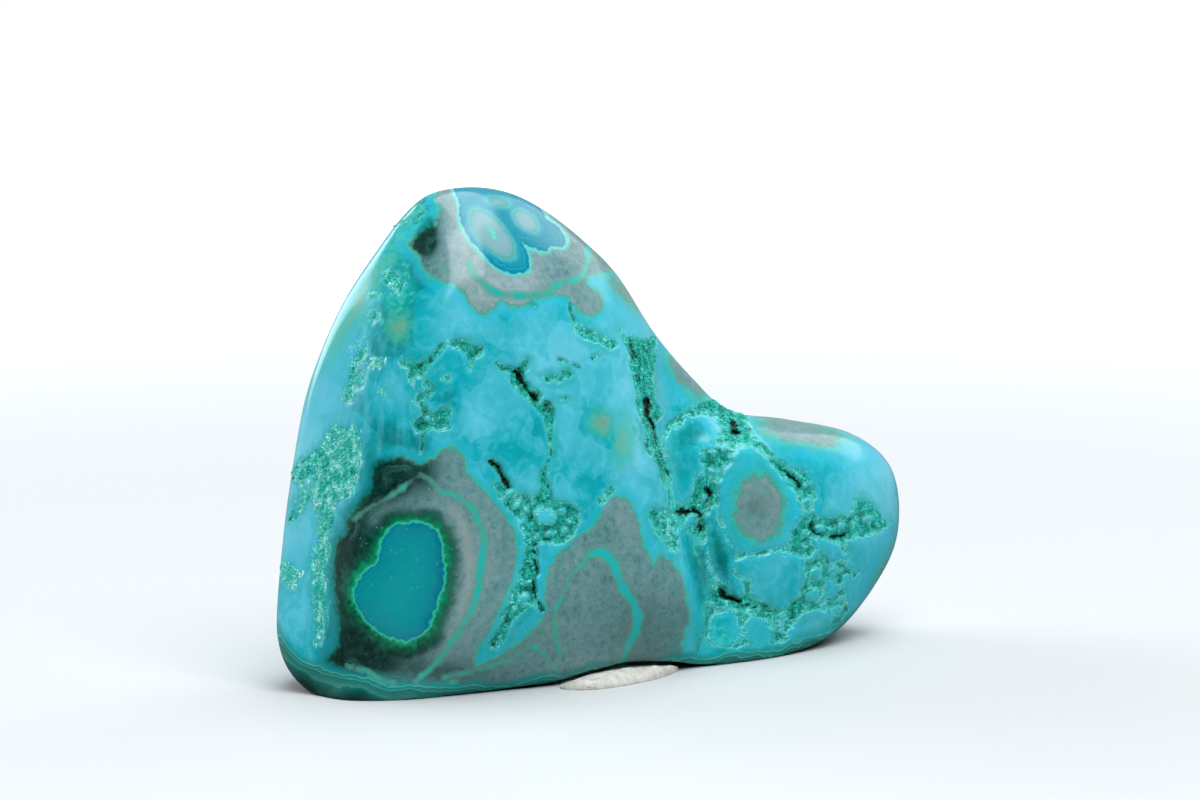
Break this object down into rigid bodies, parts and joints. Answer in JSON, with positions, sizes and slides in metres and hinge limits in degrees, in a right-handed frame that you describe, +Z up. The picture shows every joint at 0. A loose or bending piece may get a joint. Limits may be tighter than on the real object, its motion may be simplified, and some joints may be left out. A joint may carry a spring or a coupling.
{
  "type": "chrysocolla specimen",
  "caption": "Polished freeform of banded chrysocolla and malachite with druse-lined crevices, standing on its long edge over a small pad of mounting putty.",
  "frame": {"origin": "middle of the footprint's bounding box, on the surface that the stone stands on", "axes": "+X along the stone's length, from its tall end to its low foot; +Y towards its back; +Z up"},
  "size_m": [0.0736, 0.0258, 0.0491],
  "materials": {
    "chrysocolla": "satin-polished teal chrysocolla with grey-green malachite eyes and sugary green crevices",
    "putty": "matt cream-white putty"
  },
  "bodies": {
    "root": {"stone": "chrysocolla", "putty_pad": "putty"}
  },
  "joints": []
}
